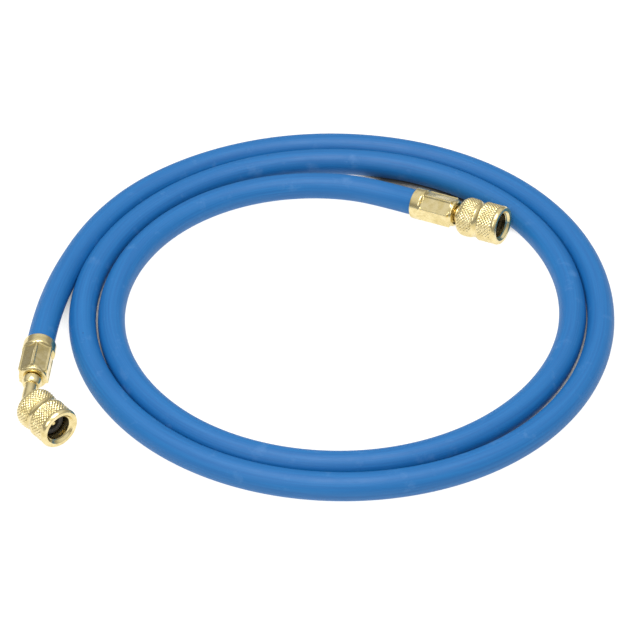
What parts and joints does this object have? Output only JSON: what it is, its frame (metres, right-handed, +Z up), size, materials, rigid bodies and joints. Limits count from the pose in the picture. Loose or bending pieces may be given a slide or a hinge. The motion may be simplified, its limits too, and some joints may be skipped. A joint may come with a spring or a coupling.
{
  "type": "refrigerant charging hose",
  "caption": "Coiled rubber charging hose with crimped brass ferrules, a straight and an angled stem, and knurled swivel nuts for flare valves.",
  "frame": {"origin": "on the surface that the hose lies on, under the middle of its bounding box", "axes": "+Z up, away from the surface; +X and +Y in the plane of the coil, with the elbow fitting on the -X side"},
  "size_m": [0.2422, 0.2288, 0.0193],
  "materials": {
    "hose_rubber": "satin",
    "brass": "polished",
    "gasket_rubber": "matte"
  },
  "bodies": {
    "coil": {"hose": "hose_rubber", "elbow_ferrule": "brass", "elbow_stem": "brass", "elbow_gasket": "gasket_rubber", "core_depressor": "brass", "straight_ferrule": "brass", "straight_stem": "brass", "straight_gasket": "gasket_rubber"},
    "elbow_swivel": {"elbow_nut": "brass"},
    "straight_swivel": {"straight_nut": "brass"}
  },
  "joints": [
    {"name": "elbow_nut_turn", "type": "hinge", "parent": "coil", "child": "elbow_swivel", "pos_m": [-0.10828, -0.07245, 0.0085], "axis": [0.6563, -0.7545, 0], "continuous": true},
    {"name": "straight_nut_turn", "type": "hinge", "parent": "coil", "child": "straight_swivel", "pos_m": [0.06911, 0.05001, 0.00994], "axis": [0.8594, -0.5022, 0.0959], "continuous": true}
  ]
}
